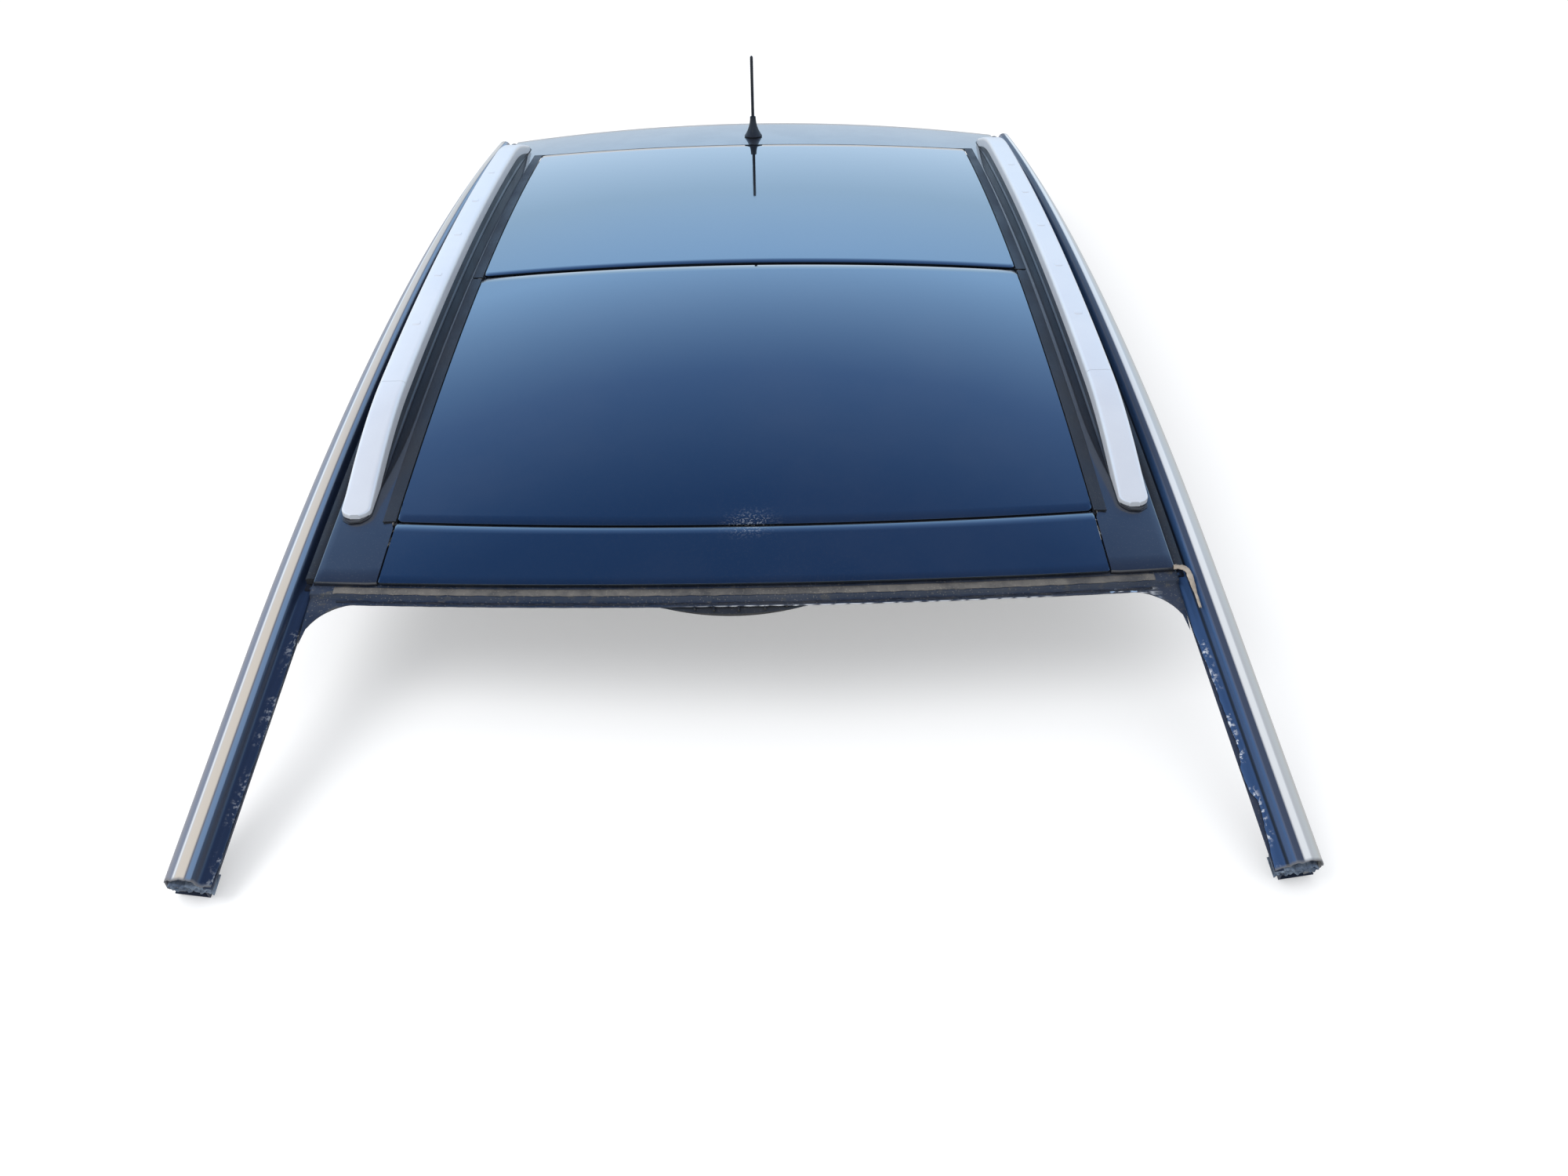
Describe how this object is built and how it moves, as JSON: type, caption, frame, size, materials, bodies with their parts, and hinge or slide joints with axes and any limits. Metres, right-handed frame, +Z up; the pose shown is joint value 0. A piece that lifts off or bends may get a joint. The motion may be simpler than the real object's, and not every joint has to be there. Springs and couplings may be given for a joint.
{
  "type": "car sunroof assembly",
  "caption": "Cut-off car roof with a two-panel glass sunroof, guide rails, lifting levers, wind deflector, roller shade, roof rails, windscreen pillars and antenna.",
  "frame": {"origin": "on the floor under the middle of the overall length and width, with the roof resting on its pillar ends", "axes": "+Y towards the car's rear, +Z up, +X to the right of someone who looks rearward"},
  "size_m": [1.3194, 2.1642, 0.3868],
  "materials": {
    "roof_paint": "gloss, dark blue-black",
    "body_paint": "gloss, dark blue-black with worn edges",
    "inner_metal": "satin primer and thin paint",
    "bare_steel": "satin",
    "roof_glass": "dark tint, gloss",
    "rail_silver": "satin anodised",
    "frame_aluminium": "mill, extruded",
    "black_rubber": "matte",
    "black_plastic": "fine grain",
    "grey_plastic": "smooth",
    "urethane": "matte bead",
    "shade_fabric": "close weave"
  },
  "bodies": {
    "roof": {"antenna_base": "black_plastic", "antenna_mast": "black_rubber", "antenna_nut": "bare_steel", "body_side_left": "body_paint", "body_side_right": "body_paint", "centre_beam": "inner_metal", "cross_seal": "black_rubber", "deflector_pivots": "black_plastic", "ditch_moulding_left": "black_rubber", "ditch_moulding_right": "black_rubber", "drain_spouts": "black_rubber", "drive_cable_front": "bare_steel", "drive_cable_rear": "bare_steel", "frame_screws": "bare_steel", "front_frame": "inner_metal", "front_glass_strip": "roof_glass", "front_trim_left": "black_plastic", "front_trim_right": "black_plastic", "glass_motor": "black_plastic", "glass_seal": "black_rubber", "guide_rail_left": "frame_aluminium", "guide_rail_right": "frame_aluminium", "header_inner": "inner_metal", "mirror_bracket": "black_plastic", "pillar_inner_left": "inner_metal", "pillar_inner_right": "inner_metal", "rail_foot_left": "rail_silver", "rail_foot_right": "rail_silver", "rail_pad_left": "black_rubber", "rail_pad_right": "black_rubber", "rail_plugs": "black_plastic", "rear_beam": "inner_metal", "rear_glass": "roof_glass", "rear_glass_bond": "urethane", "rear_header": "inner_metal", "rear_pillar_left": "inner_metal", "rear_pillar_right": "inner_metal", "rear_trim_left": "black_plastic", "rear_trim_right": "black_plastic", "roller_brackets": "black_plastic", "roof_rail_left": "rail_silver", "roof_rail_right": "rail_silver", "roof_skin": "roof_paint", "shade_cloth": "shade_fabric", "strip_bond": "urethane", "windscreen_bead": "urethane", "windscreen_header": "inner_metal"},
    "carriage": {"slide_shoe_left": "bare_steel", "slide_shoe_right": "bare_steel"},
    "levers": {"lift_lever_left": "bare_steel", "lift_lever_right": "bare_steel"},
    "glass_panel": {"sliding_glass": "roof_glass", "bracket_bond": "urethane", "glass_bracket_left": "bare_steel", "glass_bracket_right": "bare_steel"},
    "deflector": {"wind_deflector": "black_plastic"},
    "pinion": {"drive_pinion": "bare_steel"},
    "shade": {"shade_pull_bar": "frame_aluminium"},
    "roller": {"shade_roller": "frame_aluminium"}
  },
  "joints": [
    {"name": "glass_slide", "type": "hinge", "parent": "roof", "child": "carriage", "pos_m": [0, 0.152, -7.0134], "axis": [-1, 0, 0], "range_deg": [0, 2.6]},
    {"name": "glass_lift", "type": "hinge", "parent": "carriage", "child": "levers", "pos_m": [0, -0.575, 0.18656], "axis": [1, 0, 0], "range_deg": [0, 4.31]},
    {"name": "glass_vent", "type": "hinge", "parent": "levers", "child": "glass_panel", "pos_m": [0, -0.575, 0.18656], "axis": [1, 0, 0], "range_deg": [0, 3.5]},
    {"name": "deflector_raise", "type": "hinge", "parent": "roof", "child": "deflector", "pos_m": [0, -0.38, 0.1992], "axis": [-1, 0, 0], "range_deg": [0, 8.02]},
    {"name": "pinion_turn", "type": "hinge", "parent": "roof", "child": "pinion", "pos_m": [0, -0.623, 0.17], "axis": [0, 0, 1], "range_deg": [0, 2226]},
    {"name": "shade_slide", "type": "hinge", "parent": "roof", "child": "shade", "pos_m": [0, 0.152, -7.0134], "axis": [-1, 0, 0], "range_deg": [0, 10.56], "deforming": ["shade_cloth"]},
    {"name": "roller_turn", "type": "hinge", "parent": "roof", "child": "roller", "pos_m": [0, 0.8, 0.15105], "axis": [-1, 0, 0], "range_deg": [0, 5900]}
  ],
  "couplings": [
    {"joint": "glass_lift", "follows": "glass_slide", "ratio": 1.6533},
    {"joint": "deflector_raise", "follows": "glass_slide", "ratio": 3.076},
    {"joint": "pinion_turn", "follows": "glass_slide", "ratio": 855.29},
    {"joint": "roller_turn", "follows": "shade_slide", "ratio": 554.46}
  ]
}
